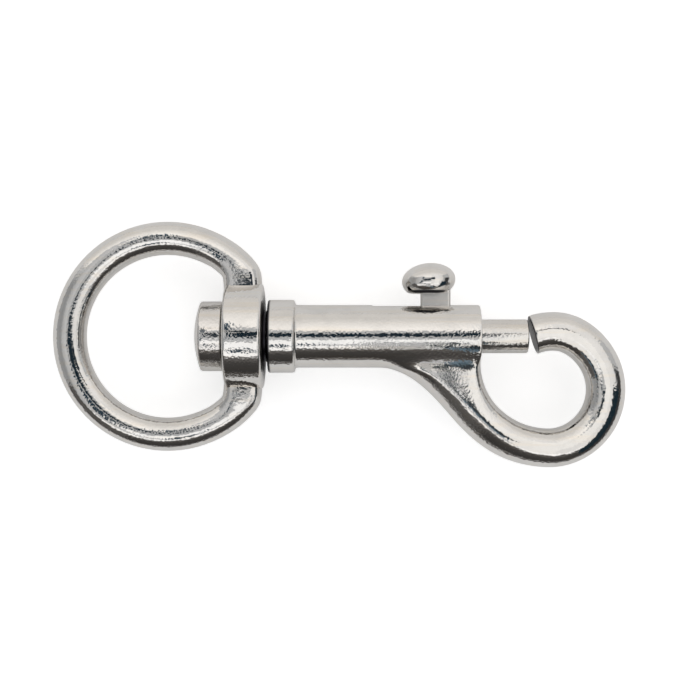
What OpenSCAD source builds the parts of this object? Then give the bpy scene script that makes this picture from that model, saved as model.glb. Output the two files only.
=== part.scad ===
// Swivel snap hook: a cast barrel and hook with a spring bolt, and a ring that
// turns on a headed pin at the other end. The centre of the ring is the origin,
// +X runs along the swivel axis to the hook, and the ring lies flat in the XY
// plane with +Y on the thumb stud's side.

/* [Ring] */
// Inside diameter of the ring
eye_inner_d = 25.4; // [23:0.2:30]
// Diameter of the ring's round bar
eye_bar_d = 5.2; // [4.2:0.1:6]
// Distance from the ring's centre to the inner side of the bar across it
eye_flat_x = 8.75; // [8:0.05:9.6]
// Front to back width of that bar along the swivel axis
arm_len = 6; // [5:0.1:7.5]
// Front to back thickness of the two arms beside the boss
arm_depth = 5.6; // [5.4:0.1:7]

/* [Boss] */
// Diameter of the boss that turns on the pin
boss_d = 16.6; // [14:0.2:18]
// Width of the boss's round rim
boss_len = 5.8; // [5:0.1:7]
// How far both faces of the boss bulge beyond the rim
boss_crown = 0.35; // [0.2:0.05:0.6]
// Diameter of the hub that runs against the collar
hub_d = 8; // [7:0.1:10]
// Height of that hub
hub_h = 0.3; // [0.2:0.05:0.5]

/* [Swivel pin] */
// Diameter of the pin's shank
pin_d = 6; // [5:0.1:7]
// Diameter of the pin's head
pin_head_d = 10.9; // [9:0.1:12]
// Height of the head's cylindrical side
pin_head_h = 3.4; // [2:0.1:4]
// Height of the head's domed face
pin_head_crown = 1.05; // [0.5:0.05:1.5]
// Length of the shank that is held inside the barrel
pin_grip = 7; // [6:0.1:8.5]
// Depth of the groove that the barrel is crimped into
crimp_depth = 0.4; // [0.2:0.05:0.6]
// Width of that groove at its mouth
crimp_width = 1.8; // [1.2:0.1:2.4]

/* [Barrel] */
// Outside diameter of the barrel
barrel_d = 9.8; // [9:0.1:11]
// Length of the barrel with its collar
barrel_len = 33; // [31:0.1:38]
// Diameter of the collar at the ring's end
collar_d = 11.4; // [10.4:0.1:13]
// Length of the collar
collar_len = 4.2; // [3.4:0.1:5]
// Width of the slot that the thumb stud runs in
slot_w = 2.7; // [2.5:0.1:3.6]

/* [Hook] */
// Diameter of the hook's round bar
hook_bar_d = 6.1; // [5:0.1:6.6]
// Inside radius of the round bow
bow_inner_r = 6.15; // [5.6:0.05:7]
// Radius of the throat, between the barrel's front face and the bow
throat_r = 10.5; // [9.8:0.1:11]
// How far the bow's centreline passes above the barrel's axis
nose_rise = 0.9; // [0.6:0.05:1.2]
// Angle round the bow at which the nose is cut off
nose_angle = 104.5; // [102:0.5:106]
// Bevel round the nose's end
nose_bevel = 0.5; // [0.3:0.05:0.7]
// Radius of the neck's back where it runs into the bow
neck_back_r = 17.4; // [16:0.1:19]
// Steepest slope of the neck's back
neck_slope = 49; // [45:0.5:52]
// Distance from the barrel's front face back to the heel, where the neck begins
heel_setback = 15.6; // [14.5:0.1:17]
// How softly the neck's back bends between heel and slope
heel_ease = 5.5; // [4:0.1:6.5]
// Roundness of the neck's edge at the throat
neck_edge = 1.7; // [1.2:0.1:2.5]
// Half thickness of the neck where it meets the barrel
neck_depth = 3.2; // [3.1:0.05:3.6]

/* [Bolt] */
// Diameter of the sliding bolt
bolt_d = 5.3; // [4.6:0.1:5.6]
// Length of the bolt from its tip to the spring's seat
bolt_len = 19.7; // [18:0.1:21]
// Bevel at the bolt's tip
bolt_bevel = 0.25; // [0.15:0.05:0.5]
// Diameter of the spigot that centres the spring
spigot_d = 3.2; // [2.6:0.1:3.4]
// Length of that spigot
spigot_len = 2.5; // [1.5:0.1:3]

/* [Thumb stud] */
// Distance from the barrel's front face back to the stem
stem_setback = 4.6; // [4:0.1:6]
// Length of the stem along the barrel
stem_len = 4.6; // [3.6:0.1:5]
// Clear height of the stem between barrel and knob
stem_h = 1.8; // [1.5:0.1:3]
// Length of the knob along the barrel
knob_len = 8.4; // [7.6:0.1:10]
// Width of the knob across the barrel
knob_w = 7.2; // [6:0.1:8.4]
// Height of the knob above its widest line
knob_top = 2.7; // [2:0.1:3.6]
// Height of the knob below its widest line, down to its flat underside
knob_under = 2.05; // [1.6:0.05:2.3]
// Backward lean of the knob
knob_lean = 6; // [0:1:10]
// How far the knob sits back from the middle of its stem
knob_offset = 1.05; // [0:0.05:1.3]
// Diameter of the tenon pressed into the bolt
tenon_d = 2; // [1.6:0.1:2.3]

/* [Spring] */
// Diameter of the spring wire
wire_d = 0.5; // [0.4:0.05:0.55]
// Number of turns, with the two closed ones
spring_turns = 11; // [9:1:12]

/* [Fits] */
// Radial clearance between the pin and the ring's boss
swivel_clearance = 0.08; // [0.05:0.01:0.1]
// Gap between the boss and the pin's head
head_gap = 0.1; // [0.05:0.05:0.2]
// Gap between the boss's hub and the collar
collar_gap = 0.15; // [0.1:0.05:0.3]
// Radial clearance between the bolt and its bore
bolt_clearance = 0.06; // [0.04:0.01:0.1]
// Gap between the bolt's tip and the nose
tip_gap = 0.2; // [0.05:0.05:0.3]
// Clearance of the stem in its slot, on every side
slot_clearance = 0.1; // [0.05:0.05:0.2]
// Radial clearance between the spring and its bore
spring_clearance = 0.2; // [0.15:0.05:0.3]
// Gap at each end of the spring
spring_seat_gap = 0.02; // [0.01:0.01:0.05]

/* [Hidden] */
nickel = [0.80, 0.78, 0.75];
nickel_dark = [0.68, 0.66, 0.63];
spring_steel = [0.52, 0.52, 0.53];
$fn = 96;

// Small roundings and overlaps that the castings share
edge_round = 0.45;
boss_round = 0.5;
head_round = 0.25;
arc_steps = 8;
overlap = 0.5;

// The ring and its boss
eye_bar_r = eye_bar_d / 2;
eye_mid_r = eye_inner_d / 2 + eye_bar_r;
boss_r = boss_d / 2;
boss_face_x = eye_flat_x + 2 * boss_crown + boss_len;
boss_end_x = boss_face_x + hub_h;
arm_round = 1.7;
arm_bevel = 0.12;
arm_run_r = eye_mid_r - 3.6;
arm_depth_r = arm_depth / 2;

// The pin and the barrel's ends
pin_r = pin_d / 2;
head_seat_x = eye_flat_x - head_gap;
head_x = head_seat_x - pin_head_h;
barrel_x = boss_end_x + collar_gap;
barrel_end_x = barrel_x + barrel_len;
barrel_r = barrel_d / 2;
collar_r = collar_d / 2;
pin_end_x = barrel_x + pin_grip;
crimp_x = barrel_x + collar_len / 2;

// The bow, the throat and the neck's back, each an arc round its own centre
hook_bar_r = hook_bar_d / 2;
bow_mid_r = bow_inner_r + hook_bar_r;
bow_x = barrel_end_x + throat_r;
bow_y = nose_rise - bow_mid_r;
bow_bottom_y = bow_y - bow_mid_r;
throat_y = bow_bottom_y + hook_bar_r + throat_r;
back_y = bow_bottom_y - hook_bar_r + neck_back_r;

// The bolt reaches the nose, and draws back until it is flush with the barrel
bolt_r = bolt_d / 2;
bore_r = bolt_r + bolt_clearance;
bolt_tip_x = bow_x + (bolt_r - bow_y) / tan(nose_angle) - tip_gap;
bolt_travel = bolt_tip_x - barrel_end_x;
bolt_tail_x = bolt_tip_x - bolt_len;

// The thumb stud and its slot
stem_front_x = barrel_end_x - stem_setback;
stem_back_x = stem_front_x - stem_len;
stem_x = (stem_front_x + stem_back_x) / 2;
stem_w = slot_w - 2 * slot_clearance;
stem_round = 0.4;
pocket_y = bolt_r - 1.1;
knob_x = stem_x - knob_offset;
knob_base_y = barrel_r + stem_h;
knob_y = knob_base_y + knob_under;
tenon_end_y = -bolt_r + 0.8;
slot_front_x = stem_front_x + slot_clearance;
slot_back_x = stem_back_x - bolt_travel - slot_clearance;

// The spring
spring_r = bore_r - spring_clearance - wire_d / 2;
spring_start_x = pin_end_x + spring_seat_gap + wire_d / 2;
spring_end_x = bolt_tail_x - spring_seat_gap - wire_d / 2;
closed_pitch = wire_d * 1.08;
steps_per_turn = 20;
wire_sides = 8;

function mix(a, b, t) = a + (b - a) * t;
function smooth(t) = t * t * (3 - 2 * t);
function bezier(p, t) =
    pow(1 - t, 3) * p[0] + 3 * pow(1 - t, 2) * t * p[1] + 3 * (1 - t) * t * t * p[2] + pow(t, 3) * p[3];
function polar(r, a) = r * [cos(a), sin(a)];
function arc(centre, r, from, to, steps = arc_steps) =
    [for (i = [0:steps]) centre + polar(r, mix(from, to, i / steps))];
// The same arc without its first point, to carry on from another.
function arc_on(centre, r, from, to, steps) =
    [for (i = [1:steps]) centre + polar(r, mix(from, to, i / steps))];

// Turns a profile of [radius, x] points round the X axis.
module lathe(profile) {
    rotate([0, 90, 0]) rotate_extrude() polygon(profile);
}

// A cylinder along X.
module rod(r, from, to) {
    translate([from, 0, 0]) rotate([0, 90, 0]) cylinder(r = r, h = to - from);
}

// A flat rectangle with rounded corners.
module rounded_plate(size, r) {
    polygon(concat(
        arc([size[0] / 2 - r, size[1] / 2 - r], r, 0, 90),
        arc([-size[0] / 2 + r, size[1] / 2 - r], r, 90, 180),
        arc([-size[0] / 2 + r, -size[1] / 2 + r], r, 180, 270),
        arc([size[0] / 2 - r, -size[1] / 2 + r], r, 270, 360)));
}

// Skins a list of closed sections that all have the same number of points.
module skin(sections) {
    count = len(sections[0]);
    last = len(sections) - 1;
    polyhedron(
        points = [for (s = sections) each s],
        faces = concat(
            [[for (j = [count - 1:-1:0]) j]],
            [for (i = [0:last - 1], j = [0:count - 1])
                let (a = i * count + j, b = i * count + (j + 1) % count)
                each [[a, b, b + count], [a, b + count, a + count]]],
            [[for (j = [0:count - 1]) last * count + j]]),
        convexity = 6);
}

// Ring with its boss

// Half of a face that bulges by height, from its edge at radius r to its middle.
function crown(r, height) =
    let (dome_r = (r * r + height * height) / (2 * height), half = asin(r / dome_r))
    arc([0, height - dome_r], dome_r, 90 - half, 90, 6);

module boss_blank() {
    flat_r = boss_r - boss_round;
    dome = crown(flat_r, boss_crown);
    last = len(dome) - 1;
    rim_x = eye_flat_x + boss_crown;
    rim_end_x = rim_x + boss_len;
    lathe(concat(
        [for (i = [last:-1:0]) [dome[i][0], rim_x - dome[i][1]]],
        arc([flat_r, rim_x + boss_round], boss_round, -70, 0, 4),
        arc([flat_r, rim_end_x - boss_round], boss_round, 0, 70, 4),
        [for (p = dome) [p[0], rim_end_x + p[1]]]));
    rod(hub_d / 2, rim_x, boss_end_x);
}

// The straight bar across the ring, trimmed so that its ends die into the round bar.
module cross_bar() {
    bar_x = eye_flat_x + arm_len / 2;
    intersection() {
        translate([bar_x, 0, 0]) rotate([90, 0, 0])
            linear_extrude(height = 2 * eye_mid_r + eye_bar_d, center = true)
                rounded_plate([arm_len, arm_depth], arm_round);
        rotate_extrude() {
            polygon([
                [0, -arm_depth_r - overlap], [arm_run_r, -arm_depth_r - overlap],
                [arm_run_r, -arm_depth_r], [eye_mid_r, -eye_bar_r + arm_bevel],
                [eye_mid_r, eye_bar_r - arm_bevel], [arm_run_r, arm_depth_r],
                [arm_run_r, arm_depth_r + overlap], [0, arm_depth_r + overlap]]);
            translate([eye_mid_r, 0]) circle(r = eye_bar_r - arm_bevel);
        }
    }
}

module swivel_eye() {
    mouth_angle = acos((eye_flat_x + arm_len) / (eye_mid_r + eye_bar_r));
    color(nickel) difference() {
        union() {
            rotate([0, 0, mouth_angle]) rotate_extrude(angle = 360 - 2 * mouth_angle)
                translate([eye_mid_r, 0]) circle(r = eye_bar_r);
            cross_bar();
            boss_blank();
        }
        rod(pin_r + swivel_clearance, eye_flat_x - overlap, boss_end_x + overlap);
    }
}

// Swivel pin

module swivel_pin() {
    head_r = pin_head_d / 2;
    dome_r = (head_r * head_r + pin_head_crown * pin_head_crown) / (2 * pin_head_crown);
    dome_half = asin((head_r - head_round) / dome_r);
    color(nickel) lathe(concat(
        arc([0, head_x - pin_head_crown + dome_r], dome_r, -90, -90 + dome_half),
        arc([head_r - head_round, head_x + head_round], head_round, -70, 0),
        [[head_r, head_seat_x], [pin_r, head_seat_x],
            [pin_r, crimp_x - crimp_width / 2], [pin_r - crimp_depth, crimp_x - crimp_width / 4],
            [pin_r - crimp_depth, crimp_x + crimp_width / 4], [pin_r, crimp_x + crimp_width / 2],
            [pin_r, pin_end_x - 0.4], [pin_r - 0.4, pin_end_x], [0, pin_end_x]]));
}

// Barrel and hook, cast in one piece

module barrel_blank() {
    fillet = 0.5;
    step_x = barrel_x + collar_len;
    lathe(concat(
        [[0, barrel_x]],
        arc([collar_r - edge_round, barrel_x + edge_round], edge_round, -90, 0),
        arc([collar_r - edge_round, step_x - edge_round], edge_round, 0, 70),
        arc([barrel_r + fillet, step_x + fillet], fillet, 250, 180),
        arc([barrel_r - edge_round, barrel_end_x - edge_round], edge_round, 0, 90),
        [[0, barrel_end_x]]));
}

// One cross section of the hook, between a point on its outer edge and one on
// its inner edge. Each end is half an ellipse of its own length.
function hook_section(outer, inner, outer_round, inner_round, half_depth) =
    let (along = (inner - outer) / norm(inner - outer), half_steps = 16)
    concat(
        [for (i = [0:half_steps])
            let (a = -90 + 180 * i / half_steps, p = inner - along * inner_round * (1 - cos(a)))
            [p[0], p[1], half_depth * sin(a)]],
        [for (i = [0:half_steps])
            let (a = 90 - 180 * i / half_steps, p = outer + along * outer_round * (1 - cos(a)))
            [p[0], p[1], half_depth * sin(a)]]);

// The nose's end, as [share of the bevel's turn, share of its depth] from the
// flat face to the full bar. The bevel is deepest on the outside of the bow.
nose_shape = [[0, 1], [0.3, 0.5], [0.8, 0.12], [1.5, 0]];
nose_bias = 0.4;

// The hook in one sweep from the nose, round the bow and up the neck into the
// barrel. The neck's outer edge is an arc and a soft bend, and its inner edge is
// the throat's arc. Its half thickness grows in a fillet where it meets the barrel.
module hook() {
    bow = [bow_x, bow_y];
    back = [bow_x, back_y];
    throat = [bow_x, throat_y];
    slope = [cos(neck_slope), -sin(neck_slope)];
    back_start = back + polar(neck_back_r, 270 - neck_slope);
    heel = [barrel_end_x - heel_setback, -barrel_r];
    bend = [heel, heel + [heel_ease, 0], back_start - heel_ease * slope, back_start];
    fillet_y = -barrel_r - 1.3;
    fillet_h = barrel_r - neck_depth - 0.45;
    outer_r = bow_mid_r + hook_bar_r;
    bevel_turn = nose_bevel / bow_mid_r * 180 / PI;
    bow_start = nose_angle - 2.5 * bevel_turn;
    bow_steps = 32;
    neck_start = len(nose_shape) + bow_steps + 1;
    outer = concat(
        [for (n = nose_shape)
            bow + polar(outer_r - (1 + nose_bias) * n[1] * nose_bevel, nose_angle - n[0] * bevel_turn)],
        arc(bow, outer_r, bow_start, -90, bow_steps),
        arc_on(back, neck_back_r, 270, 270 - neck_slope, 10),
        [for (i = [1:18]) bezier(bend, 1 - i / 18)],
        [for (i = [1:4]) heel + i * [1.1, 0.7]]);
    inner = concat(
        [for (n = nose_shape)
            bow + polar(bow_inner_r + (1 - nose_bias) * n[1] * nose_bevel, nose_angle - n[0] * bevel_turn)],
        arc(bow, bow_inner_r, bow_start, -90, bow_steps),
        arc_on(throat, throat_r, 270, 225, 10),
        arc_on(throat, throat_r, 225, 180, 18),
        [for (i = [1:4]) [barrel_end_x - 0.3 * i, throat_y + i * 0.6]]);
    skin([for (i = [0:len(outer) - 1])
        let (
            width = norm(inner[i] - outer[i]),
            rise = i > neck_start ? (inner[i][1] + outer[i][1]) / 2 - fillet_y : 0,
            spread = smooth(min(1, max(0, (i - neck_start - 7) / 18))),
            round_in = min(width / 2, mix(hook_bar_r, neck_edge, spread)),
            round_out = min(width - round_in, mix(hook_bar_r, 2.4 * hook_bar_r, spread * spread)),
            depth = mix(hook_bar_r, neck_depth, spread) + fillet_h * pow(max(0, rise / 4.2), 2)
        )
        hook_section(outer[i], inner[i], round_out, round_in, min(depth, width / 2))]);
}

module slot_cut() {
    size = [slot_front_x - slot_back_x, slot_w];
    translate([(slot_front_x + slot_back_x) / 2, barrel_r + overlap, 0]) rotate([90, 0, 0])
        linear_extrude(height = barrel_r + overlap) rounded_plate(size, stem_round);
}

module hook_body() {
    color(nickel) difference() {
        union() {
            barrel_blank();
            hook();
        }
        rod(bore_r, pin_end_x - 0.1, barrel_end_x + overlap);
        lathe([[0, barrel_x - 1], [pin_r, barrel_x - 1],
            [pin_r, crimp_x - crimp_width / 2], [pin_r - crimp_depth, crimp_x - crimp_width / 4],
            [pin_r - crimp_depth, crimp_x + crimp_width / 4], [pin_r, crimp_x + crimp_width / 2],
            [pin_r, pin_end_x], [0, pin_end_x]]);
        slot_cut();
    }
}

// Bolt

module bolt() {
    color(nickel_dark) difference() {
        lathe([
            [0, bolt_tail_x - spigot_len], [spigot_d / 2 - 0.3, bolt_tail_x - spigot_len],
            [spigot_d / 2, bolt_tail_x - spigot_len + 0.3], [spigot_d / 2, bolt_tail_x],
            [bolt_r - 0.2, bolt_tail_x], [bolt_r, bolt_tail_x + 0.2],
            [bolt_r, bolt_tip_x - bolt_bevel], [bolt_r - bolt_bevel, bolt_tip_x], [0, bolt_tip_x]]);
        translate([stem_x, bolt_r + overlap, 0]) rotate([90, 0, 0])
            linear_extrude(height = bolt_r + overlap - pocket_y)
                rounded_plate([stem_len, stem_w], stem_round);
        translate([stem_x, pocket_y + overlap, 0]) rotate([90, 0, 0])
            cylinder(r = tenon_d / 2, h = pocket_y + overlap - tenon_end_y);
    }
}

// Thumb stud

// An egg shape, leaned back, flattened from above and cut flat below.
module knob() {
    steps = 2 * arc_steps;
    half_len = knob_len / 2;
    egg = [for (i = [-steps:steps]) let (a = 90 * i / steps)
        [half_len * cos(a), (a > 0 ? knob_top : 1.4 * knob_under) * sin(a)]];
    intersection() {
        translate([knob_x, knob_y, 0]) rotate([0, 0, knob_lean]) scale([1, 1, knob_w / knob_len])
            rotate([-90, 0, 0]) rotate_extrude() polygon(egg);
        translate([knob_x - knob_len, knob_base_y, -knob_w]) cube([2 * knob_len, knob_len, 2 * knob_w]);
    }
}

module thumb_stud() {
    stem_top_y = knob_y;
    color(nickel) union() {
        knob();
        translate([stem_x, stem_top_y, 0]) rotate([90, 0, 0])
            linear_extrude(height = stem_top_y - pocket_y) rounded_plate([stem_len, stem_w], stem_round);
        translate([stem_x, pocket_y + overlap, 0]) rotate([90, 0, 0])
            cylinder(r = tenon_d / 2, h = pocket_y + overlap - tenon_end_y);
    }
}

// Spring with closed ends

function coil_x(turn) =
    let (open_turns = spring_turns - 2, open_length = spring_end_x - spring_start_x - 2 * closed_pitch)
    turn < 1 ? closed_pitch * turn :
    turn > spring_turns - 1 ? closed_pitch * (1 + turn - (spring_turns - 1)) + open_length :
    closed_pitch + open_length * (turn - 1) / open_turns;

module spring() {
    color(spring_steel) skin([for (i = [0:spring_turns * steps_per_turn])
        let (turn = i / steps_per_turn, out = [0, cos(360 * turn), sin(360 * turn)],
            centre = [spring_start_x + coil_x(turn), 0, 0] + spring_r * out)
        [for (j = [0:wire_sides - 1]) let (a = 360 * (j + 0.5) / wire_sides)
            centre + wire_d / 2 * (cos(a) * out + sin(a) * [1, 0, 0])]]);
}

hook_body();
swivel_eye();
swivel_pin();
bolt();
thumb_stud();
spring();
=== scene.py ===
import math

import bmesh
import bpy
from mathutils import Matrix, Vector


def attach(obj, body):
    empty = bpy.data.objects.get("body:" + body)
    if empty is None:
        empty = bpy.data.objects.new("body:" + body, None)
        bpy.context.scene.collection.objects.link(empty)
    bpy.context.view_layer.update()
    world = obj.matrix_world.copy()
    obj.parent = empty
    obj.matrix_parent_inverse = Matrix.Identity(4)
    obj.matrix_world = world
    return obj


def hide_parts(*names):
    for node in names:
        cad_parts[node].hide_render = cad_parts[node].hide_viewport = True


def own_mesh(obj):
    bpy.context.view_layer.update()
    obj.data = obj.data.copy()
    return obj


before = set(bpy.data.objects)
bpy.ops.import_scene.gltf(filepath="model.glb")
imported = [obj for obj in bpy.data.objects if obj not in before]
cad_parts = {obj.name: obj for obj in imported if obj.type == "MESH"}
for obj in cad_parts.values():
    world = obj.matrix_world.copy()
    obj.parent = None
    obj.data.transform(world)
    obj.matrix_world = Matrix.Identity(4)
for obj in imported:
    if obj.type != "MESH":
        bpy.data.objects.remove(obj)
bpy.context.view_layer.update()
print("frame loaded:", sorted(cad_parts))

scene = bpy.context.scene
mm = 0.001                 # every piece is built in millimetres and scaled once
ringShrink = 1.0261        # a subdivided 16 sided loop comes out this much too small
barShrink = 1.0166         # and the section of a swept bar this much
turnedSteps = 96           # facets round the small turned pieces


# Camera, floor and studio

view = {
    "pixel": 0.15625 * mm,      # what one pixel of the picture covers at the hook's axis
    "frame": 700,
    "aim": (28.46 * mm, -2.14 * mm),
    "distance": 203 * mm,
    "sensor": 36.0,
}
studio = {
    "floorZ": -8.3 * mm,
    "floorSize": 6.0,
    "floorColour": (0.80, 0.80, 0.80, 1),
    "floorLift": 0.50,          # makes the floor read as white paper to the eye
    "floorGloss": 0.08,         # the same for the floor as the metal shows it
    "worldColour": (0.97, 0.985, 1.0, 1),
    "worldLight": 0.62,
    "lampHeight": 0.3,          # cards lower than this don't shade the floor
    # The blots of a patchy card: their scale, where and how softly they start, their light
    "blotScale": 700.0,
    "blotLow": 0.54,
    "blotSoft": 0.1,
    "blotLight": 1.1,
}

camera = bpy.data.cameras.new("camera")
camera.sensor_width = view["sensor"]
camera.lens = view["sensor"] * view["distance"] / (view["frame"] * view["pixel"])
camera.clip_start = 0.01
camera.clip_end = 50
cameraObject = bpy.data.objects.new("camera", camera)
cameraObject.location = (*view["aim"], view["distance"])
scene.collection.objects.link(cameraObject)
scene.camera = cameraObject
scene.view_settings.view_transform = "Standard"


class Link:
    # Wraps a socket, so that sums and products of links add their own Math nodes
    def __init__(self, tree, socket=None):
        self.tree = tree
        self.socket = socket

    def add(self, kind, settings=None, sockets=None, output=0):
        node = self.tree.nodes.new("ShaderNode" + kind)
        for name, value in (settings or {}).items():
            if name == "stops":
                ramp = node.color_ramp
                while len(ramp.elements) < len(value):
                    ramp.elements.new(0.5)
                for element, (place, colour) in zip(ramp.elements, value):
                    element.position = place
                    element.color = colour
            else:
                setattr(node, name, value)
        for name, value in (sockets or {}).items():
            if isinstance(value, Link):
                self.tree.links.new(value.socket, node.inputs[name])
            else:
                node.inputs[name].default_value = value
        return Link(self.tree, node.outputs[output] if len(node.outputs) else None)

    def maths(self, operation, *values):
        return self.add("Math", {"operation": operation}, dict(enumerate(values)))

    def __add__(self, other):
        return self.maths("ADD", self, other)

    def __sub__(self, other):
        return self.maths("SUBTRACT", self, other)

    def __rsub__(self, other):
        return self.maths("SUBTRACT", other, self)

    def __mul__(self, other):
        return self.maths("MULTIPLY", self, other)

    def __truediv__(self, other):
        return self.maths("DIVIDE", self, other)

    def __abs__(self):
        return self.maths("ABSOLUTE", self)

    __radd__ = __add__
    __rmul__ = __mul__

    def larger(self, other):
        return self.maths("MAXIMUM", self, other)

    def clip(self, low, high):
        # 0 below low, 1 above high and a soft step between
        return self.add("MapRange", {"interpolation_type": "SMOOTHSTEP"},
                        {0: self, 1: low, 2: high, 3: 0.0, 4: 1.0})

    def mixColour(self, first, second):
        return self.add("Mix", {"data_type": "RGBA"}, {0: self, 6: first, 7: second}, 2)


def newTree(owner):
    owner.use_nodes = True
    owner.node_tree.nodes.clear()
    return Link(owner.node_tree)


def makeFloor():
    material = bpy.data.materials.new("whitePaper")
    tree = newTree(material)
    seen = tree.add("LightPath", output="Is Camera Ray")
    mirrored = tree.add("LightPath", output="Is Glossy Ray")
    through = tree.add("LightPath", output="Is Transmission Ray")
    lift = seen * studio["floorLift"] + (mirrored + through) * studio["floorGloss"]
    paper = tree.add("BsdfDiffuse", sockets={"Color": studio["floorColour"]})
    glow = tree.add("Emission", sockets={"Color": (1, 1, 1, 1), "Strength": lift})
    both = tree.add("AddShader", sockets={0: paper, 1: glow})
    tree.add("OutputMaterial", sockets={"Surface": both})
    bm = bmesh.new()
    bmesh.ops.create_grid(bm, x_segments=1, y_segments=1, size=studio["floorSize"] / 2)
    bmesh.ops.translate(bm, verts=bm.verts, vec=(view["aim"][0], 0, studio["floorZ"]))
    mesh = bpy.data.meshes.new("floor")
    bm.to_mesh(mesh)
    bm.free()
    mesh.materials.append(material)
    floor = bpy.data.objects.new("floor", mesh)
    scene.collection.objects.link(floor)


# Cards round the hook, which show only as reflections in it. Each one is
# [name, middle, across, up, colour, [share of its height, light] stops, patchy].
# Across and up go from its middle to its edges, in metres. Patchy, up to 1, is how far
# white light comes through it in blots.
umber = (1.0, 0.94, 0.90)
navy = (0.3, 0.8, 1.3)
slate = (0.4, 0.9, 1.3)
warmWhite = (1.0, 0.985, 0.96)
cards = [
    ["keyPanel", (0.03, 0.42, 0.66), (0.62, 0, 0), (0, 0, 0.66), (1.0, 0.970, 0.932),
     [(0, 0.82), (0.06, 0.86), (0.14, 0.84), (0.32, 1.08), (0.5, 1.22), (0.75, 1.32), (1, 1.0)], 0],
    ["frontPanel", (0.0, -0.42, 0.205), (0.62, 0, 0), (0, 0, 0.205), umber,
     [(0, 0.12), (0.12, 0.05), (0.6, 0.07), (0.9, 0.16), (1, 0.2)], 0],
    ["frontStrip", (0.0, -0.42, 0.505), (0.55, 0, 0), (0, 0, 0.085), (1.0, 0.99, 0.98),
     [(0, 1.1), (0.4, 1.4), (1, 1.2)], 0],
    ["frontGap", (0.0, -0.42, 0.72), (0.45, 0, 0), (0, 0, 0.045), (0.6, 0.9, 1.1),
     [(0, 0.2), (0.5, 0.05), (1, 0.2)], 0],
    ["frontTop", (0.0, -0.30, 0.70), (0.45, 0, 0), (0, 0.14, 0), (1, 1, 1),
     [(0, 1.3), (1, 1.3)], 0],
    ["cameraSide", (0.020, 0.0125, 0.21), (0.050, 0, 0), (0, 0.0225, 0), navy,
     [(0, 0.03), (1, 0.02)], 0],
    ["cameraRight", (0.096, 0.040, 0.21), (0.026, 0, 0), (0, 0.033, 0), navy,
     [(0, 0.03), (1, 0.02)], 0],
    ["cameraEdge", (0.078, -0.004, 0.21), (0.009, 0, 0), (0, 0.018, 0), (0.4, 0.8, 1.1),
     [(0, 0.12), (1, 0.12)], 1],
    ["armUp", (-0.040, 0.075, 0.21), (0.011, 0, 0), (0, 0.035, 0), navy,
     [(0, 0.03), (1, 0.10)], 0],
    ["armLow", (-0.0825, -0.054, 0.21), (-0.0375, -0.046, 0), (0.0109, -0.0088, 0), navy,
     [(0, 0.03), (1, 0.06)], 0],
    ["standLine", (-0.010, -0.125, 0.21), (0.022, 0, 0), (0, 0.020, 0), navy,
     [(0, 0.05), (1, 0.05)], 0],
    ["lowFloor", (0, -0.2525, -0.0076), (0.6, 0, 0), (0, 0.1675, 0), umber,
     [(0, 0.12), (1, 0.12)], 0],
    ["leftFront", (-0.31, -0.28, 0.15), (0.10, -0.11, 0), (0, 0, 0.14), (1.0, 0.95, 0.92),
     [(0, 0.10), (1, 0.13)], 0],
    ["rightCeiling", (0.36, 0.06, 0.42), (0, 0.36, 0), (0.25, 0, 0), (1.0, 0.985, 0.97),
     [(0, 1.02), (0.3, 1.08), (1, 0.98)], 0],
    ["leftCeiling", (-0.37, 0.0, 0.42), (0, 0.30, 0), (0.23, 0, 0), (0.98, 0.99, 1.0),
     [(0, 0.45), (1, 0.75)], 0],
    ["rightPanel", (0.48, -0.17, 0.13), (0, 0.26, 0), (0, 0, 0.12), (0.95, 0.96, 1.0),
     [(0, 0.10), (0.5, 0.04), (1, 0.12)], 0],
    ["leftPanel", (-0.45, -0.05, 0.25), (0, 0.30, 0), (0, 0, 0.25), (0.96, 0.98, 1.0),
     [(0, 0.45), (0.5, 0.36), (1, 0.5)], 0],
    ["bowGlow", (0.0695, -0.007, 0.045), (0.010, 0, 0), (0, 0.018, 0), warmWhite,
     [(0, 1.2), (1, 1.2)], 0],
    ["neckShade", (0.0502, -0.0149, 0.016), (0.0035, -0.0035, 0), (0.0027, 0.0027, 0),
     (0.65, 0.95, 1.2), [(0, 0.30), (0.4, 0.10), (0.6, 0.03), (1, 0.03)], 0],
    ["webShade", (0.0448, -0.0095, 0.016), (0.0018, -0.0018, 0), (0.0026, 0.0026, 0), slate,
     [(0, 0.03), (1, 0.03)], 0.4],
    ["bowInside", (0.0575, -0.0205, 0.021), (0.006, 0, 0), (0, 0.010, 0), warmWhite,
     [(0, 1.15), (1, 1.15)], 0],
    ["bowShade", (0.040, -0.036, 0.050), (0.009, 0, 0), (0, 0.018, 0), slate,
     [(0, 0.03), (1, 0.03)], 1],
    ["endShade", (0.100, -0.040, 0.033), (0, 0.032, 0), (0, 0, 0.018), slate,
     [(0, 0.03), (1, 0.03)], 0],
]


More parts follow.
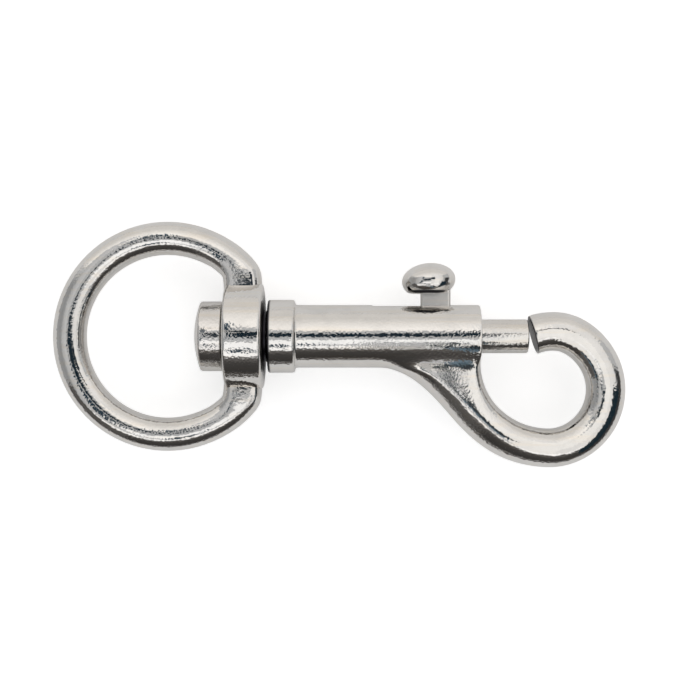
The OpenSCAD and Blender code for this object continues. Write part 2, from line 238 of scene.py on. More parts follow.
def makeCard(name, middle, across, up, colour, stops, patchy):
    material = bpy.data.materials.new(name)
    tree = newTree(material)
    place = tree.add("TexCoord", output="Object")
    foot = [m - u for m, u in zip(middle, up)]
    span = [2 * u for u in up]
    height = sum(u * u for u in span)
    offset = tree.add("VectorMath", {"operation": "SUBTRACT"}, {0: place, 1: foot})
    along = tree.add("VectorMath", {"operation": "DOT_PRODUCT"}, {0: offset, 1: span}, 1)
    top = max(light for share, light in stops)
    ramp = [(share, tuple(c * light / top for c in colour) + (1,)) for share, light in stops]
    light = tree.add("ValToRGB", {"stops": ramp}, {0: along / height})
    if patchy:
        blots = tree.add("TexNoise", None, {
            "Vector": place, "Scale": studio["blotScale"], "Detail": 1.0})
        white = studio["blotLight"] / top
        low = studio["blotLow"] - studio["blotSoft"] * patchy
        light = blots.clip(low, low + studio["blotSoft"]).mixColour(light, (white, white, white, 1))
    glow = tree.add("Emission", sockets={"Color": light, "Strength": top})
    tree.add("OutputMaterial", sockets={"Surface": glow})
    bm = bmesh.new()
    bmesh.ops.create_grid(bm, x_segments=1, y_segments=1, size=1)
    across, up = Vector(across), Vector(up)
    turn = Matrix((across, up, across.cross(up))).transposed()
    bmesh.ops.transform(bm, matrix=Matrix.Translation(middle) @ turn.to_4x4(), verts=bm.verts)
    mesh = bpy.data.meshes.new(name)
    bm.to_mesh(mesh)
    bm.free()
    mesh.materials.append(material)
    card = bpy.data.objects.new(name, mesh)
    scene.collection.objects.link(card)
    card.visible_camera = False
    card.visible_shadow = False
    card.visible_diffuse = middle[2] > studio["lampHeight"]


def makeWorld():
    world = bpy.data.worlds.new("studio")
    scene.world = world
    tree = newTree(world)
    seen = tree.add("LightPath", output="Is Camera Ray")
    colour = seen.mixColour(studio["worldColour"], (1, 1, 1, 1))
    strength = studio["worldLight"] + seen * (1 - studio["worldLight"])
    sky = tree.add("Background", sockets={"Color": colour, "Strength": strength})
    tree.add("OutputWorld", sockets={"Surface": sky})


makeFloor()
for card in cards:
    makeCard(*card)
makeWorld()
print("studio set up with", len(cards), "cards")


# Nickel plate

# A dark tone painted in as shade, in the gap by the collar, on the nose's cut end, on the boss
# beside the gap and under the knob
paintedShadeColour = (0.035, 0.035, 0.04, 1)
nickel = {
    "cast": {"colour": (0.70, 0.685, 0.665, 1), "roughness": 0.09, "grain": 0.75, "wave": 0.4,
             "coarse": 24, "soft": 0.04, "paintedShade": paintedShadeColour},
    "eye": {"colour": (0.70, 0.685, 0.665, 1), "roughness": 0.09, "grain": 0.7, "wave": 0.35,
            "coarse": 60, "soft": 0.10, "paintedShade": paintedShadeColour},
    "stud": {"colour": (0.70, 0.685, 0.665, 1), "roughness": 0.10, "grain": 0.3, "wave": 0.9,
             "coarse": 36, "soft": 0.24, "paintedShade": paintedShadeColour},
    "turned": {"colour": (0.70, 0.68, 0.66, 1), "roughness": 0.14, "grain": 1.2, "wave": 0.7},
    "drawn": {"colour": (0.68, 0.665, 0.645, 1), "roughness": 0.16, "grain": 1.3, "wave": 0.7},
    "spring": {"colour": (0.50, 0.50, 0.51, 1), "roughness": 0.28, "grain": 0.6, "wave": 0.3},
}
# What all the finishes share. Heights are in thousandths of a millimetre.
plate = {
    "grainScale": 2900.0, "grainHeight": 24,
    "waveScale": 900.0, "waveHeight": 30,
    "pitScale": 1700.0,
    "patchScale": 260.0, "patchRoughness": 0.10, "patchTone": (0.35, 0.7), "patchDull": 0.93,
    "streakScale": (60.0, 1500.0, 1500.0), "streakTone": (0.48, 0.72), "streakShare": 0.7,
    "streakWarmth": (1.0, 0.96, 0.90), "paintedShadeRoughness": 0.25, "heightUnit": 0.000001,
}


def nickelPlate(name, look, coarse=None, paintedShade=None):
    # coarse gives where the casting is left rough, and the last mask where shade is painted into
    # the colour as a dark tone, both 0 to 1.
    # They are asked with x, y and z in millimetres.
    s = plate
    material = bpy.data.materials.new(name)
    tree = newTree(material)
    place = tree.add("TexCoord", output="Object")
    x, y, z = (tree.add("SeparateXYZ", None, {"Vector": place}, axis) * 1000 for axis in range(3))
    grain = tree.add("TexNoise", None, {"Vector": place, "Scale": s["grainScale"], "Detail": 0.0})
    wave = tree.add("TexNoise", None, {"Vector": place, "Scale": s["waveScale"], "Detail": 0.0})
    patch = tree.add("TexNoise", None, {
        "Vector": place, "Scale": s["patchScale"], "Detail": 3.0, "Roughness": 0.6})
    drawn = tree.add("Mapping", {"vector_type": "POINT"}, {
        "Vector": place, "Scale": s["streakScale"]})
    streak = tree.add("TexNoise", None, {"Vector": drawn, "Scale": 1.0, "Detail": 2.0})
    height = grain * (s["grainHeight"] * look["grain"]) + wave * (s["waveHeight"] * look["wave"])
    roughness = look["roughness"] + (patch - 0.5) * s["patchRoughness"]
    base = look["colour"][:3]
    dull = tuple(c * s["patchDull"] for c in base) + (1,)
    warm = tuple(c * k for c, k in zip(base, s["streakWarmth"])) + (1,)
    colour = patch.clip(*s["patchTone"]).mixColour(look["colour"], dull)
    colour = (streak.clip(*s["streakTone"]) * s["streakShare"]).mixColour(colour, warm)
    if coarse is not None:
        mask = coarse(x, y, z)
        pits = tree.add("TexNoise", None, {"Vector": place, "Scale": s["pitScale"], "Detail": 1.0})
        height = height + pits * mask * look["coarse"]
        roughness = roughness + mask * look["soft"]
    # Painted shade: the colour goes to the dark tone where the mask is 1, and gets rougher
    if paintedShade is not None:
        mask = paintedShade(x, y, z)
        colour = mask.mixColour(colour, look["paintedShade"])
        roughness = roughness + mask * s["paintedShadeRoughness"]
    normal = tree.add("Bump", None, {
        "Strength": 1.0, "Distance": s["heightUnit"], "Height": height})
    skin = tree.add("BsdfPrincipled", None, {
        "Base Color": colour, "Metallic": 1.0, "Roughness": roughness, "Normal": normal})
    tree.add("OutputMaterial", sockets={"Surface": skin})
    return material


# Where the finish changes and where shade is painted. Each pair is where a soft step starts and
# ends, in millimetres, except bow, the bow's middle, and noseFacing, the way that the nose's end
# looks.
marks = {
    "web": (38, 42), "neckEnd": (50, 56), "webTop": (-6, -4.2), "neckLow": (-17, -12),
    "collar": (15.95, 16.25),
    "bow": (59.2, -8.3), "noseFacing": (-0.968, -0.250), "noseCut": (-0.25, -0.05),
    "noseX": (53, 54), "noseY": (-3, -2),
    "armSide": (7.8, 8.4), "armSideEnd": (10.0, 11.5), "armX": (8.0, 8.6), "armEndX": (11.8, 13.2),
    "eyeGapShade": (14.95, 15.1),
    "stemTop": (6.95, 7.1),
    "underTop": (7.05, 7.25), "underFront": (1.4, 2.0), "underLow": (6.6, 6.7),
    "stemLeft": (39.3, 39.45), "stemRight": (44.15, 44.3),
}


def neckAndWeb(x, y, z):
    s = marks
    return (x.clip(*s["web"]) * (1 - x.clip(*s["neckEnd"]))
            * (1 - y.clip(*s["webTop"])) * y.clip(*s["neckLow"]))


def gapAndNoseShade(x, y, z):
    # Painted shade on the collar's edge in the gap beside the eye, and on the cut end of the bow
    s = marks
    (bowX, bowY), (facingX, facingY) = s["bow"], s["noseFacing"]
    along = (x - bowX) * facingX + (y - bowY) * facingY
    nose = along.clip(*s["noseCut"]) * x.clip(*s["noseX"]) * y.clip(*s["noseY"])
    return (1 - x.clip(*s["collar"])).larger(nose)


def armFacets(x, y, z):
    s = marks
    side = abs(y)
    return (side.clip(*s["armSide"]) * (1 - side.clip(*s["armSideEnd"]))
            * x.clip(*s["armX"]) * (1 - x.clip(*s["armEndX"])))


def eyeGapShade(x, y, z):
    # Painted shade on the boss's face and hub beside the gap to the collar
    return x.clip(*marks["eyeGapShade"])


def studStem(x, y, z):
    return 1 - y.clip(*marks["stemTop"])


def studUnderShade(x, y, z):
    # Painted shade on the front of the knob's underside, but not the stem
    s = marks
    low = (1 - y.clip(*s["underTop"])) * z.clip(*s["underFront"])
    beside = y.clip(*s["underLow"]) + (1 - x.clip(*s["stemLeft"])) + x.clip(*s["stemRight"])
    return low * beside.clip(0.2, 0.8)


castNickel = nickelPlate("castNickel", nickel["cast"], neckAndWeb, gapAndNoseShade)
turnedNickel = nickelPlate("turnedNickel", nickel["turned"])
drawnNickel = nickelPlate("drawnNickel", nickel["drawn"])
studNickel = nickelPlate("studNickel", nickel["stud"], studStem, studUnderShade)
eyeNickel = nickelPlate("eyeNickel", nickel["eye"], armFacets, eyeGapShade)
springSteel = nickelPlate("springSteel", nickel["spring"])
print("finishes made:", len(nickel))


# Shared steps

def spinProfile(bm, profile, steps):
    # Turns [x, radius] points round the X axis
    verts = [bm.verts.new((x, radius, 0)) for x, radius in profile]
    pairs = list(zip(verts, verts[1:]))
    if min(radius for x, radius in profile) > 0:
        pairs.append((verts[-1], verts[0]))
    edges = [bm.edges.new(pair) for pair in pairs]
    bmesh.ops.spin(bm, geom=verts + edges, cent=(0, 0, 0), axis=(1, 0, 0), angle=2 * math.pi,
                   steps=steps, use_merge=True, use_duplicate=False)
    bmesh.ops.remove_doubles(bm, verts=bm.verts, dist=1e-4)
    bmesh.ops.recalc_face_normals(bm, faces=bm.faces)


def bevelRing(bm, x, radius, width, segments=4):
    # Rounds the circular edge of a spun shape at that x and radius
    ring = [e for e in bm.edges if all(
        abs(v.co.x - x) < 1e-3 and abs(math.hypot(*v.co.yz) - radius) < 1e-3 for v in e.verts)]
    bmesh.ops.bevel(bm, geom=ring, offset=width, offset_type="OFFSET", affect="EDGES",
                    segments=segments, profile=0.5, material=-1)


def toObject(bm, name):
    bmesh.ops.scale(bm, vec=(mm, mm, mm), verts=bm.verts)
    mesh = bpy.data.meshes.new(name)
    bm.to_mesh(mesh)
    bm.free()
    piece = bpy.data.objects.new(name, mesh)
    scene.collection.objects.link(piece)
    return piece


def applyModifiers(piece):
    evaluated = piece.evaluated_get(bpy.context.evaluated_depsgraph_get())
    piece.data = bpy.data.meshes.new_from_object(evaluated)
    piece.modifiers.clear()


def subdivide(piece, levels):
    modifier = piece.modifiers.new("smooth", "SUBSURF")
    modifier.levels = modifier.render_levels = levels


def carve(piece, other, operation):
    modifier = piece.modifiers.new("carve", "BOOLEAN")
    modifier.operation = operation
    modifier.solver = "MANIFOLD"
    modifier.object = other
    applyModifiers(piece)
    bpy.data.objects.remove(other)


def finishPiece(piece, material, body, slot, *nodes, sharp=38):
    bm = bmesh.new()
    bm.from_mesh(piece.data)
    bmesh.ops.remove_doubles(bm, verts=bm.verts, dist=1e-7)
    for face in bm.faces:
        face.smooth = True
    for edge in bm.edges:
        edge.smooth = len(edge.link_faces) == 2 and edge.calc_face_angle(0) < math.radians(sharp)
    bm.to_mesh(piece.data)
    triangles = sum(len(face.verts) - 2 for face in bm.faces)
    openEdges = sum(len(edge.link_faces) != 2 for edge in bm.edges)
    bm.free()
    piece.data.name = piece.name
    piece.data.materials.clear()
    piece.data.materials.append(material)
    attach(piece, body)
    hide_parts(*nodes)
    print(f"{piece.name}: {triangles} triangles, {openEdges} open edges")


def roundedPlate(name, size, corner, low, high, middle):
    # An upright prism with rounded corners, from low to high along Y
    bm = bmesh.new()
    bmesh.ops.create_cube(bm, size=1)
    bmesh.ops.scale(bm, vec=(size[0], high - low, size[1]), verts=bm.verts)
    upright = [e for e in bm.edges if abs((e.verts[0].co - e.verts[1].co).normalized().y) > 0.9]
    bmesh.ops.bevel(bm, geom=upright, offset=corner, offset_type="OFFSET", affect="EDGES",
                    segments=6, profile=0.5, material=-1)
    bmesh.ops.translate(bm, vec=(middle, (low + high) / 2, 0), verts=bm.verts)
    return toObject(bm, name)


# Hook body: barrel, neck and bow, one casting

hook = {
    "barrelRadius": 4.9, "collarRadius": 5.7, "boreRadius": 2.71, "pinRadius": 3.0,
    "startX": 15.7, "stepX": 19.9, "pinEndX": 22.7, "heelX": 33.1, "endX": 48.7, "patchX": 33.7,
    "slotX": (31.93, 44.2), "slotWidth": 2.7, "slotCorner": 0.4,
    # The bow is swept in steps of about 15 degrees and comes out smaller by bowStretch
    "bow": (59.2, -8.3), "bowRadius": 9.2, "barRadius": 3.05, "bowSteps": 13, "bowStretch": 1.0097,
    # The nose: where it ends, how far its middle leaves the bow's circle at some angles, and
    # how its rim is rounded, as [degrees back from the end, outside in by, inside in by]
    "noseAngle": 104.5, "sweepEnd": 99.524,
    "noseBend": ((45, 0), (68, 0.16), (80, 0.04), (90, -0.18), (98, -0.36), (106, -0.46)),
    "noseRim": ((1.0885, 0, 0), (0.2177, 0.06, 0.04), (0, 0.34, 0.2)), "capInset": 0.5,
    # The back of the neck and the throat
    "throat": (59.2, -3.95), "throatRadius": 10.5, "backY": -3.15, "backRadius": 17.5,
    "backAngle": 221.0, "heelEase": 5.5,
    # Stations along the neck, 0 at the heel and 1 where the back's arc starts, and along that arc.
    # Spread is 1 at the heel and 0 on the bow, and neckSpread where the arc starts.
    "neckSteps": (0.10, 0.24, 0.40, 0.58, 0.78, 1.0), "backSteps": (0.33, 0.66),
    "neckSpread": 0.38, "neckDepth": 3.2, "neckEdge": 1.7,
    "neckRound": 0.13, "heelRound": 1.3, "heelSwell": 0.62, "swellEnd": 0.55,
    "neckFlank": 0.4, "flankSpread": 0.2, "flankRise": 2.5,
    "webFall": 0.2, "fallRise": 4, "webRidge": 0.12,
}


def polar(middle, radius, degrees):
    turn = math.radians(degrees)
    return Vector((middle[0] + radius * math.cos(turn), middle[1] + radius * math.sin(turn)))


def makeBarrel(bm):
    s = hook
    outer, collar, bore, pin = s["barrelRadius"], s["collarRadius"], s["boreRadius"], s["pinRadius"]
    start, step, end = s["startX"], s["stepX"], s["endX"]
    heel = s["patchX"]
    reach = end - 0.5 - heel
    # Points lie close together where an edge stays crisp once it is subdivided
    profile = [
        (start, pin), (start, pin + 0.4), (start, collar - 0.9), (start, collar - 0.45),
        (start + 0.02, collar), (start + 0.55, collar), (start + 2.1, collar),
        (step - 0.65, collar), (step - 0.12, collar), (step, collar - 0.35), (step + 0.12, outer),
        (step + 0.6, outer), (step + 3, outer), (27, outer), (heel - 2.4, outer), (heel, outer),
        (heel + 0.27 * reach, outer), (heel + 0.53 * reach, outer), (heel + 0.78 * reach, outer),
        (end - 0.5, outer), (end, outer), (end, outer - 0.5),
        (end, bore + 0.3), (end, bore), (end - 0.3, bore), (40, bore), (31, bore),
        (s["pinEndX"] + 0.3, bore), (s["pinEndX"], bore), (s["pinEndX"], pin),
        (s["pinEndX"] - 0.3, pin), (start + 0.3, pin),
    ]
    spinProfile(bm, [(x, radius * ringShrink) for x, radius in profile], 16)
    # The patch under the barrel that the neck grows from is opened, and its rim put in order
    patch = []
    for face in bm.faces:
        middle = face.calc_center_median()
        below = -middle.y > abs(middle.z) + 0.2
        if below and middle.x > heel and math.hypot(*middle.yz) > outer - 0.75:
            patch.append(face)
    bmesh.ops.delete(bm, geom=patch, context="FACES")
    edges = [e for e in bm.edges if len(e.link_faces) == 1]
    first = min({v for e in edges for v in e.verts}, key=lambda v: abs(v.co.z) + v.co.x)
    loop = [first]
    while len(loop) < len(edges):
        near = [e.other_vert(loop[-1]) for e in loop[-1].link_edges if e in edges]
        near = [v for v in near if v not in loop]
        loop.append(max(near, key=lambda v: v.co.z))
    return loop


def placeLoop(loop, outer, inner, outerRound, innerRound, depth, swell=1.0, fall=0.0, ridge=0.5,
              flank=1.0):
    # Sets a loop of verts round a section between its outer and inner points.
    # A swell below 1 makes it fuller and a flank above 1 flattens its outer rounding into a slope.
    # It gets thinner by fall towards its inner edge, and ridge is where its top lies
    # on the flat part, 0 by the outer rounding and 1 by the inner one.
    width = (inner - outer).length
    flatWidth = width - innerRound - outerRound
    along = (inner - outer) / width
    middle = (inner + outer) / 2
    for i, vert in enumerate(loop):
        turn = 2 * math.pi * i / len(loop)
        share = math.cos(turn)
        power = swell
        if abs(share) < 1e-6:
            place = outerRound + flatWidth * ridge
        elif share > 0:
            place = outerRound * (1 - share ** flank)
            power = swell * flank
        else:
            place = width - innerRound * (1 + share)
        inward = (place - outerRound) / max(1, flatWidth)
        rise = math.copysign(abs(math.sin(turn)) ** power, math.sin(turn))
        rise *= 1 - fall / depth * max(0, min(1, inward))
        flat = middle + along * (place - width / 2) * barShrink
        vert.co = (flat.x, flat.y, depth * rise * barShrink)


def extrudeLoop(bm, loop):
    count = len(loop)
    edges = [bm.edges.get((loop[i], loop[(i + 1) % count])) for i in range(count)]
    made = bmesh.ops.extrude_edge_only(bm, edges=edges)["geom"]
    fresh = {v for v in made if isinstance(v, bmesh.types.BMVert)}
    return [next(e.other_vert(v) for e in v.link_edges if e.other_vert(v) in fresh) for v in loop]


def noseNudge(angle):
    # How far the middle of the bow leaves its circle at an angle
    bends = hook["noseBend"]
    for (low, atLow), (high, atHigh) in zip(bends, bends[1:]):
        if low <= angle <= high:
            return atLow + (atHigh - atLow) * (angle - low) / (high - low)
    return 0


def neckStations():
    # Outer point, inner point, spread and share of the way from the heel to the back's arc
    s = hook
    heel = Vector((s["heelX"], -s["barrelRadius"]))
    backMiddle = (s["bow"][0], s["backY"])
    backStart = polar(backMiddle, s["backRadius"], s["backAngle"])
    slope = polar((0, 0), 1, s["backAngle"] - 270)
    ease = s["heelEase"]
    bend = [heel, heel + Vector((ease, 0)), backStart - slope * ease, backStart]
    stations = []
    for t in s["neckSteps"]:
        weights = ((1 - t) ** 3, 3 * (1 - t) ** 2 * t, 3 * (1 - t) * t * t, t ** 3)
        outer = sum((weight * point for weight, point in zip(weights, bend)), Vector((0, 0)))
        inner = polar(s["throat"], s["throatRadius"], 180 + 45 * t)
        stations.append((outer, inner, 1 - t * (1 - s["neckSpread"]), t))
    for share in s["backSteps"]:
        outer = polar(backMiddle, s["backRadius"], s["backAngle"] + (270 - s["backAngle"]) * share)
        inner = polar(s["throat"], s["throatRadius"], 225 + 45 * share)
        stations.append((outer, inner, s["neckSpread"] * (1 - share) ** 1.5, 1))
    return stations


def makeHookBody():
    s = hook
    bm = bmesh.new()
    loop = makeBarrel(bm)
    bar, radius = s["barRadius"], s["bowRadius"]
    for outer, inner, spread, t in neckStations():
        width = (inner - outer).length
        innerRound = min(width / 2, bar + (s["neckEdge"] - bar) * spread)
        outerRound = bar * (1 + s["neckRound"] * min(1, spread / s["neckSpread"])
                            + s["heelRound"] * spread ** 5)
        outerRound = min(width - innerRound, outerRound)
        depth = bar + (s["neckDepth"] - bar) * spread
        swell = s["heelSwell"] + (1 - s["heelSwell"]) * min(1, t / s["swellEnd"])
        fall = s["webFall"] * min(1, s["fallRise"] * t * spread)
        flank = 1 + (s["neckFlank"] * min(1, spread / s["flankSpread"])
                     * min(1, s["flankRise"] * t))
        loop = extrudeLoop(bm, loop)
        placeLoop(loop, outer, inner, outerRound, innerRound, depth,
                  swell, fall, s["webRidge"], flank)
    for i in range(s["bowSteps"] + 1):
        angle = -90 + (s["sweepEnd"] + 90) * i / s["bowSteps"]
        full = 1 + (s["bowStretch"] - 1) * min(1, 0.5 + i)
        nudge = noseNudge(angle)
        loop = extrudeLoop(bm, loop)
        placeLoop(loop, polar(s["bow"], (radius + bar) * full + nudge, angle),
                  polar(s["bow"], (radius - bar) * full + nudge, angle), bar, bar, bar)
    for back, outIn, inIn in s["noseRim"]:
        angle = s["noseAngle"] - back
        nudge = noseNudge(angle)
        rim = bar - (outIn + inIn) / 2
        loop = extrudeLoop(bm, loop)
        placeLoop(loop, polar(s["bow"], radius + bar + nudge - outIn, angle),
                  polar(s["bow"], radius - bar + nudge + inIn, angle), rim, rim, rim)
    cap = bm.faces.new(loop)
    bmesh.ops.inset_region(bm, faces=[cap], thickness=s["capInset"], use_even_offset=True)
    bmesh.ops.recalc_face_normals(bm, faces=bm.faces)
    piece = toObject(bm, "hookBody")
    subdivide(piece, 3)
    applyModifiers(piece)
    low, high = s["slotX"]
    cutter = roundedPlate("slotCutter", (high - low, s["slotWidth"]), s["slotCorner"],
                          0, s["barrelRadius"] + 1.1, (low + high) / 2)
    carve(piece, cutter, "DIFFERENCE")
    finishPiece(piece, castNickel, "hook", "hook_nickel", "hook_body")


makeHookBody()


# Swivel eye: the ring, its two short arms and the boss that turns on the pin

eye = {
    "ringRadius": 15.3, "barRadius": 2.6, "armX": (8.75, 14.75), "armDepth": 2.8, "armRound": 1.9,
    "bossRadius": 8.3, "bossX": (9.1, 14.9), "bossCrown": 0.35, "bossRound": 0.5,
    "hubRadius": 4.0, "hubX": 15.55, "boreRadius": 3.08, "crownSteps": (5.2, 6.4, 7.4),
    "hubRound": 0.12, "bossSteps": 128, "ringSteps": 17, "ringStart": 60.0, "ringStretch": 1.01,
}


def makeBoss():
    s = eye
    low, high = s["bossX"]
    crown = s["bossCrown"]
    bore, hub, rim = s["boreRadius"], s["hubRadius"], s["bossRadius"]
    rise = [(radius, crown * (1 - (radius / rim) ** 2)) for radius in (bore, hub, *s["crownSteps"])]
    profile = [(low - lift, radius) for radius, lift in rise] + [(low, rim), (high, rim)]
    profile += [(high + lift, radius) for radius, lift in reversed(rise[1:])]
    profile += [(s["hubX"], hub), (s["hubX"], bore)]
    bm = bmesh.new()
    spinProfile(bm, profile, s["bossSteps"])
    bevelRing(bm, low, rim, s["bossRound"], 6)
    bevelRing(bm, high, rim, s["bossRound"], 6)
    bevelRing(bm, s["hubX"], hub, s["hubRound"], 3)
    return toObject(bm, "boss")


def makeSwivelEye():
    s = eye
    far, near = s["ringRadius"] + s["barRadius"], s["ringRadius"] - s["barRadius"]
    innerX, outerX = s["armX"]
    bar, deep, soft = s["barRadius"], s["armDepth"], s["armRound"]
    centre = (0, 0)
    # One arm from inside the boss out to the ring: outer point, inner point, depth, rounding
    # and swell
    arm = [
        (Vector((outerX - 0.1, 4.6)), Vector((innerX + 0.3, 4.6)), deep, soft, 0.7),
        (Vector((outerX - 0.05, 6.6)), Vector((innerX + 0.1, 6.6)), deep, soft, 0.7),
        (Vector((outerX, 8.3)), Vector((innerX, 8.2)), deep, soft, 0.72),
        (polar(centre, far * 1.003, 35.8), Vector((innerX - 0.1, 9.35)),
         deep - 0.02, soft + 0.1, 0.78),
        (polar(centre, far * 1.006, 41.5), polar(centre, near, 50.5), deep - 0.1, soft + 0.35, 0.9),
        (polar(centre, far * 1.010, 48.5), polar(centre, near * 1.004, 54.5), bar + 0.03, bar, 1.0),
    ]
    lower = [(Vector((a.x, -a.y)), Vector((b.x, -b.y)), *rest) for a, b, *rest in reversed(arm)]
    ring = []
    for i in range(s["ringSteps"] + 1):
        angle = s["ringStart"] + (360 - 2 * s["ringStart"]) * i / s["ringSteps"]
        ring.append((polar(centre, far * s["ringStretch"], angle),
                     polar(centre, near * s["ringStretch"], angle), bar, bar, 1.0))
    bm = bmesh.new()
    loop = bmesh.ops.create_circle(bm, segments=20, radius=1)["verts"]
    ends = [loop]
    for i, (outer, inner, depth, rounding, swell) in enumerate(arm + ring + lower):
        if i:
            loop = extrudeLoop(bm, loop)
        rounding = min(rounding, (outer - inner).length / 2)
        placeLoop(loop, outer, inner, rounding, rounding, depth, swell)
    ends.append(loop)
    for end in ends:
        bm.faces.new(end)
    bmesh.ops.recalc_face_normals(bm, faces=bm.faces)
    piece = toObject(bm, "swivelEye")
    subdivide(piece, 3)
    applyModifiers(piece)
    carve(piece, makeBoss(), "UNION")
    finishPiece(piece, eyeNickel, "ring", "ring_nickel", "swivel_eye")


makeSwivelEye()


# Swivel pin: a domed head and a shank that goes through the boss into the barrel

pin = {
    "radius": 3.0, "endX": 22.7, "headRadius": 5.45, "headX": (5.25, 8.65), "dome": 1.05,
    "round": 0.3, "backRound": 0.15, "endBevel": 0.4,
    "grooveX": 17.8, "groove": 0.4, "grooveWidth": 1.8,
    "domeSteps": (0, 0.12, 0.3, 0.48, 0.64, 0.78, 0.9, 1),
}


def makeSwivelPin():
    s = pin
    low, high = s["headX"]
    head, dome = s["headRadius"], s["dome"]
    domeRadius = (head ** 2 + dome ** 2) / (2 * dome)
    profile = []
    for share in s["domeSteps"]:
        radius = head * share
        profile.append((low - dome + domeRadius - math.sqrt(domeRadius ** 2 - radius ** 2), radius))
    shank, groove, half = s["radius"], s["grooveX"], s["grooveWidth"] / 2
    floor = shank - s["groove"]
    end, bevel = s["endX"], s["endBevel"]
    profile += [(high, head), (high, shank), (groove - half, shank), (groove - half / 2, floor),
                (groove + half / 2, floor), (groove + half, shank), (end - bevel, shank),
                (end, shank - bevel), (end, 0)]
    bm = bmesh.new()
    spinProfile(bm, profile, turnedSteps)
    bevelRing(bm, low, head, s["round"], 5)
    bevelRing(bm, high, head, s["backRound"], 3)
    piece = toObject(bm, "swivelPin")
    finishPiece(piece, turnedNickel, "hook", "pin_nickel", "swivel_pin", sharp=30)


makeSwivelPin()


# Bolt, with the pocket that the thumb stud is set in

bolt = {
    "radius": 2.65, "tailX": 36.468, "tipX": 56.168, "tipBevel": 0.25, "tailBevel": 0.2,
    "spigotRadius": 1.6, "spigot": 2.5, "spigotBevel": 0.3,
}
stud = {
    "stemX": (39.5, 44.1), "stemWidth": 2.5, "stemCorner": 0.4, "pocketY": 1.55,
    "knob": (40.75, 8.75), "knobLength": 8.4, "knobWidth": 7.2, "knobTop": 2.7, "knobUnder": 2.87,
    "baseY": 6.7, "baseRound": 0.35, "lean": 6.0, "knobSteps": 14,
    "tenonRadius": 1.0, "tenonY": -1.85,
}


def stemBlock(name, top):
    s = stud
    low, high = s["stemX"]
    return roundedPlate(name, (high - low, s["stemWidth"]), s["stemCorner"],
                        s["pocketY"], top, (low + high) / 2)


def tenonPeg(name):
    s = stud
    bm = bmesh.new()
    tall = s["pocketY"] + 0.2 - s["tenonY"]
    bmesh.ops.create_cone(bm, cap_ends=True, segments=32, radius1=s["tenonRadius"],
                          radius2=s["tenonRadius"], depth=tall)
    bmesh.ops.rotate(bm, verts=bm.verts, matrix=Matrix.Rotation(math.pi / 2, 3, "X"))
    bmesh.ops.translate(bm, verts=bm.verts, vec=(sum(s["stemX"]) / 2, s["tenonY"] + tall / 2, 0))
    return toObject(bm, name)


def makeBolt():
    s = bolt
    tail, tip, radius, thin = s["tailX"], s["tipX"], s["radius"], s["spigotRadius"]
    start = tail - s["spigot"]
    profile = [(start, 0), (start, thin), (tail, thin), (tail, radius), (tip, radius), (tip, 0)]
    bm = bmesh.new()
    spinProfile(bm, profile, turnedSteps)
    bevelRing(bm, tip, radius, s["tipBevel"], 5)
    bevelRing(bm, tail, radius, s["tailBevel"], 3)
    bevelRing(bm, start, thin, s["spigotBevel"], 3)
    piece = toObject(bm, "slidingBolt")
    carve(piece, stemBlock("pocket", radius + 1.35), "DIFFERENCE")
    carve(piece, tenonPeg("hole"), "DIFFERENCE")
    finishPiece(piece, drawnNickel, "plunger", "bolt_nickel", "bolt")


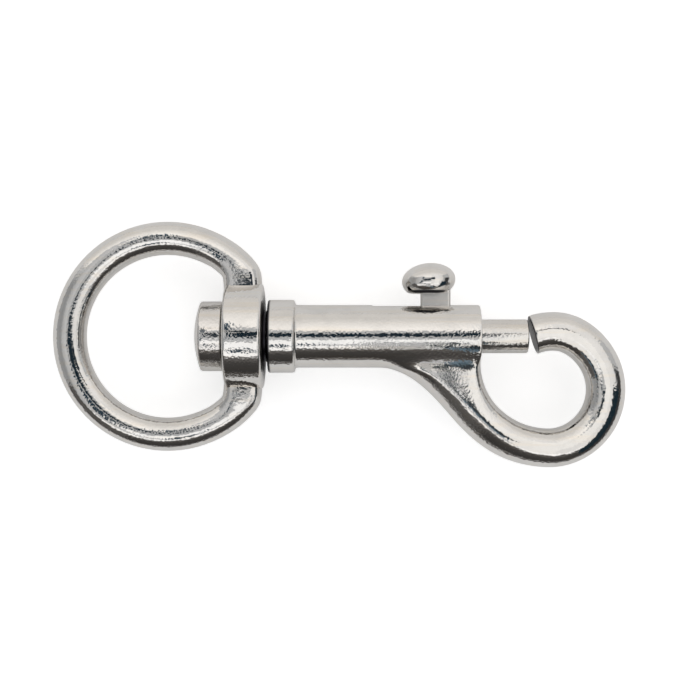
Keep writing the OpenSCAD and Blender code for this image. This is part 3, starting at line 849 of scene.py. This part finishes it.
def makeKnob():
    s = stud
    half = s["knobLength"] / 2
    steps = s["knobSteps"]
    profile = []
    for i in range(-steps, steps + 1):
        turn = math.pi / 2 * i / steps
        tall = s["knobTop"] if i > 0 else s["knobUnder"]
        profile.append((tall * math.sin(turn), half * math.cos(turn) if abs(i) < steps else 0))
    bm = bmesh.new()
    spinProfile(bm, profile, turnedSteps)
    bmesh.ops.rotate(bm, verts=bm.verts, matrix=Matrix.Rotation(math.pi / 2, 3, "Z"))
    bmesh.ops.scale(bm, verts=bm.verts, vec=(1, 1, s["knobWidth"] / s["knobLength"]))
    bmesh.ops.rotate(bm, verts=bm.verts, matrix=Matrix.Rotation(math.radians(s["lean"]), 3, "Z"))
    bmesh.ops.translate(bm, verts=bm.verts, vec=(*s["knob"], 0))
    # The underside is cut flat and its rim rounded
    cut = bmesh.ops.bisect_plane(bm, geom=bm.verts[:] + bm.edges[:] + bm.faces[:],
                                 plane_co=(0, s["baseY"], 0), plane_no=(0, -1, 0),
                                 clear_outer=True)["geom_cut"]
    rim = [e for e in cut if isinstance(e, bmesh.types.BMEdge)]
    bmesh.ops.contextual_create(bm, geom=rim)
    bmesh.ops.recalc_face_normals(bm, faces=bm.faces)
    rim = [e for e in bm.edges if all(abs(v.co.y - s["baseY"]) < 1e-4 for v in e.verts)]
    bmesh.ops.bevel(bm, geom=rim, offset=s["baseRound"], offset_type="OFFSET", affect="EDGES",
                    segments=5, profile=0.5, material=-1)
    return toObject(bm, "knob")


def makeThumbStud():
    piece = makeKnob()
    piece.name = "thumbStud"
    carve(piece, stemBlock("stem", stud["knob"][1]), "UNION")
    carve(piece, tenonPeg("tenon"), "UNION")
    finishPiece(piece, studNickel, "plunger", "stud_nickel", "thumb_stud")


makeBolt()
makeThumbStud()


# Spring, wound round the X axis with a closed turn at each end

spring = {
    "start": 22.97, "end": 36.198, "radius": 2.26, "wire": 0.25, "turns": 11, "closed": 0.54,
    "perTurn": 24, "wireSides": 8,
}


def makeSpring():
    s = spring
    openPitch = (s["end"] - s["start"] - 2 * s["closed"]) / (s["turns"] - 2)
    bm = bmesh.new()
    loop = bmesh.ops.create_circle(bm, segments=s["wireSides"], radius=s["wire"])["verts"]
    bmesh.ops.rotate(bm, verts=loop, matrix=Matrix.Rotation(math.pi / 2, 3, "Y"))
    bmesh.ops.rotate(bm, verts=loop, matrix=Matrix.Rotation(math.pi / 2, 3, "X"))
    bmesh.ops.translate(bm, verts=loop, vec=(s["start"], s["radius"], 0))
    bm.faces.new(loop)
    wound = loop + bm.edges[:]
    for turn in range(s["turns"]):
        pitch = s["closed"] if turn in (0, s["turns"] - 1) else openPitch
        made = bmesh.ops.spin(bm, geom=wound, cent=(0, 0, 0), axis=(1, 0, 0), angle=2 * math.pi,
                              dvec=(pitch / s["perTurn"], 0, 0), steps=s["perTurn"],
                              use_merge=False, use_duplicate=False)
        wound = made["geom_last"]
    bmesh.ops.contextual_create(bm, geom=[e for e in wound if isinstance(e, bmesh.types.BMEdge)])
    bmesh.ops.recalc_face_normals(bm, faces=bm.faces)
    piece = toObject(bm, "springCoil")
    finishPiece(piece, springSteel, "hook", "spring_wire", "spring", sharp=70)
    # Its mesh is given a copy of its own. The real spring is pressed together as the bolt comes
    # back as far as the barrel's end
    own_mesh(piece)


makeSpring()
